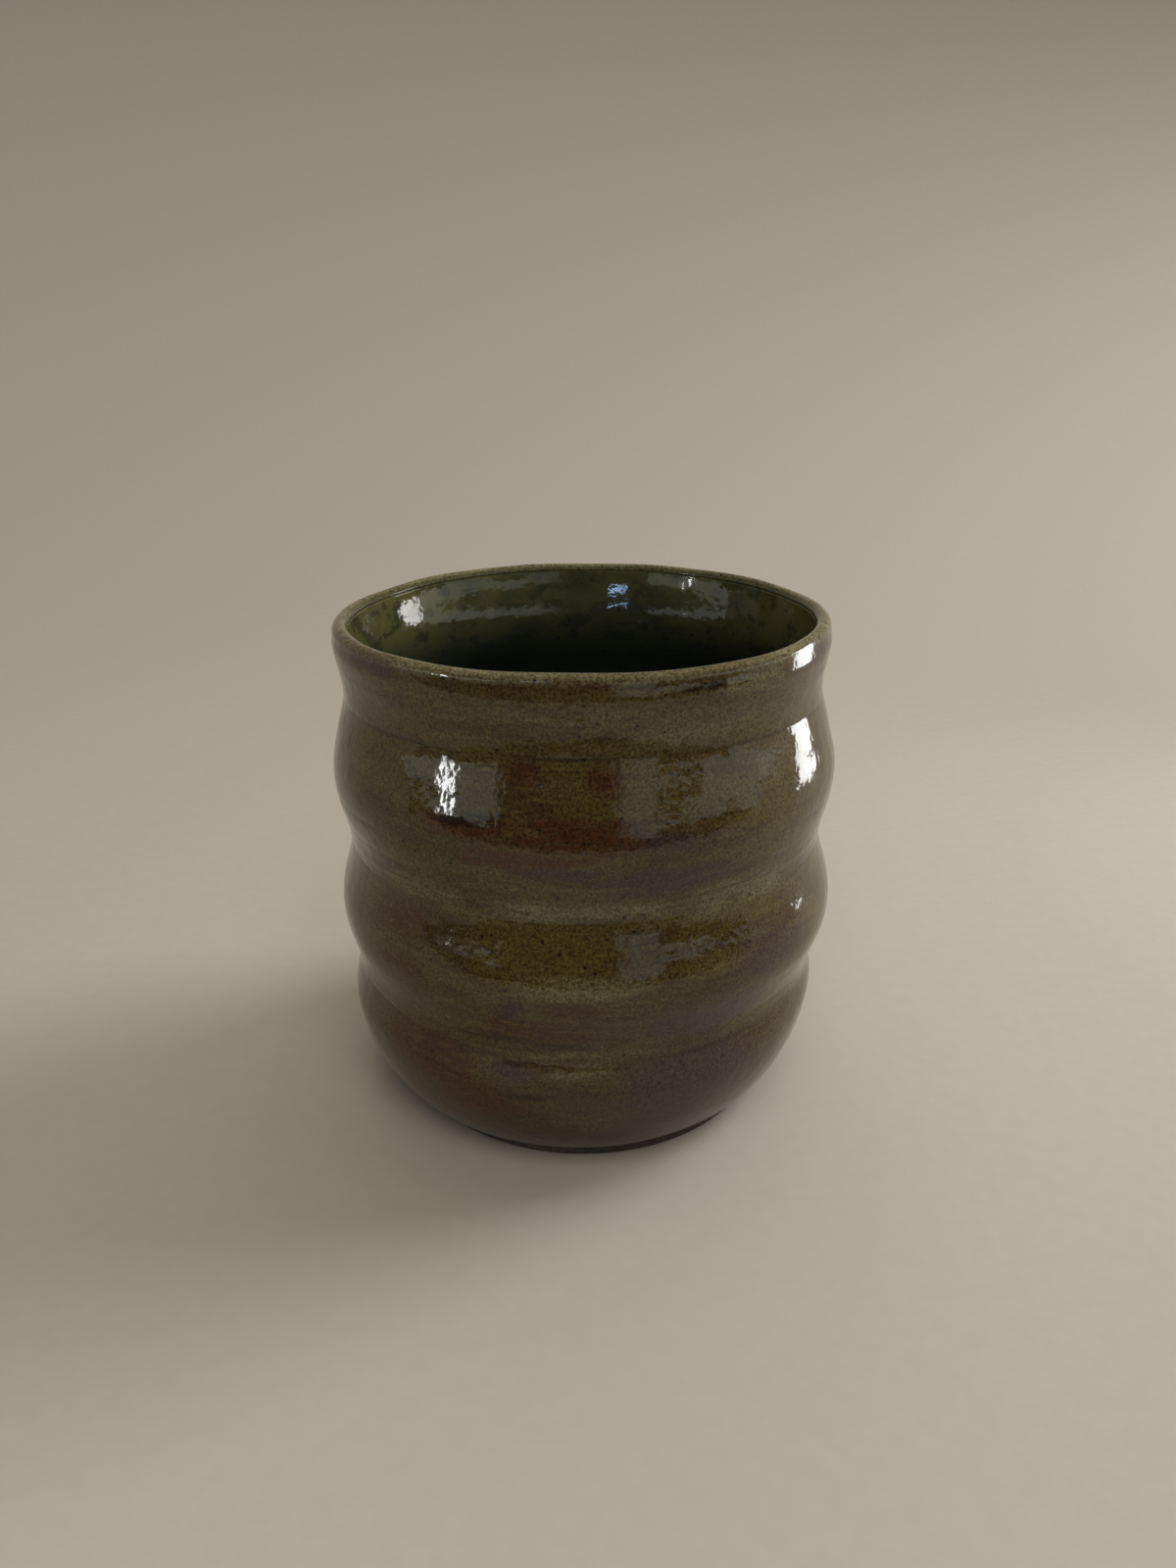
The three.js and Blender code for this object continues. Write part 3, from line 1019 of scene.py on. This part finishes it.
def card(name, start, end, low, high, brightness, distance=CARD_DISTANCE, tint=WHITE, spread=180):
    """Softbox that fills the mug's view between two angles to the right and two heights.

    A lamp with a narrow spread looks brighter head-on, by the half angle's tangent over that
    tangent less the half angle, so it gets fewer watts for the same brightness.
    """
    angle = np.radians((start + end) / 2)
    width = 2 * distance * np.tan(np.radians(end - start) / 2)
    height = high - low
    place = (distance * np.sin(angle), -distance * np.cos(angle), (low + high) / 2)
    half = np.radians(spread) / 2
    gathered = np.tan(half) / (np.tan(half) - half)
    watts = brightness * np.pi * width * height / gathered
    softbox(name, place, MIDDLE, width, height, watts, tint, spread=spread)


print("helpers: softbox, card")

# %% Windows, cards, lamps and the room
COOL, WARM, SKY_BLUE = (0.9, 1.0, 0.96), (1.0, 0.91, 0.76), (0.4, 0.65, 1.0)
ROOM_TONE, ROOM_STRENGTH = colour(1.0, 0.95, 0.87), 0.07
# Start and end in degrees to the right, low and high edge in metres, then brightness
GREY_CARDS = {
    "card_left": (-87, -37, 0.06, 0.26, 0.7),
    "card_right_edge": (13, 18, -0.1, 0.28, 0.3),
    "card_right_near": (18, 31, -0.1, 0.28, 0.52),
    "card_right_sill": (31, 66, 0.055, 0.115, 0.7),
    "card_right_top": (31, 51, 0.19, 0.28, 0.7),
    "card_right_post": (51, 66, 0.115, 0.28, 0.75),
    "card_right_far": (66, 102, 0.0, 0.28, 0.8),
}
card("window_right", 102, 118, 0.002, 0.18, brightness=10.5, distance=0.37, spread=90)
card("window_left", -61.6, -58.4, 0.055, 0.205, brightness=23, distance=1.0)
for name, placing in GREY_CARDS.items():
    card(name, *placing, tint=COOL)
card("sky_patch", -24, -16, 0.335, 0.36, brightness=16, distance=1.0, tint=SKY_BLUE)

softbox("key_right", (0.85, 0.3, 0.8), MIDDLE, 0.5, 0.5, watts=7.6, mirrored=False)
softbox("fill_front", (0.1, -0.85, 1.15), MIDDLE, 0.9, 0.9, watts=8.1, tint=WARM, mirrored=False)
softbox("fill_above", (0.1, 0.5, 1.5), MIDDLE, 1.3, 1.3, watts=8.0, tint=WARM, mirrored=False)

world = bpy.data.worlds.new("room")
world.use_nodes = True
room = world.node_tree.nodes["Background"]
room.inputs["Color"].default_value = ROOM_TONE
room.inputs["Strength"].default_value = ROOM_STRENGTH
bpy.context.scene.world = world

# %% [markdown]
# ## Camera
# The picture looks as if it was taken close, with a phone's wide lens, from above the lip. The
# mug's outline fits lenses from 20 to 31 mm about equally well, so 26 mm, a common one, is a
# choice. It is given on the long side of the frame. The camera is placed in the mug's own
# frame: in front on -Y, tilted down, with the slight turn and roll of a hand.

# %% Camera
LENS, SENSOR = 26.0, 36.0
STAND = (0.0, -0.1845, 0.1268)
TILT_DOWN, TURN_RIGHT, ROLL = np.radians([21.61, 0.16, -0.49])
camera_data = bpy.data.cameras.new("camera")
camera_data.lens = LENS
camera_data.sensor_width = SENSOR
camera_data.clip_start = 0.01
camera = bpy.data.objects.new("camera", camera_data)
aimed = Matrix.Rotation(-TURN_RIGHT, 4, "Z") @ Matrix.Rotation(np.pi / 2 - TILT_DOWN, 4, "X")
camera.matrix_world = Matrix.Translation(STAND) @ aimed @ Matrix.Rotation(ROLL, 4, "Z")
bpy.context.scene.collection.objects.link(camera)
bpy.context.scene.camera = camera
bpy.context.scene.view_settings.view_transform = "Standard"
print("camera at", STAND, "lens", LENS)
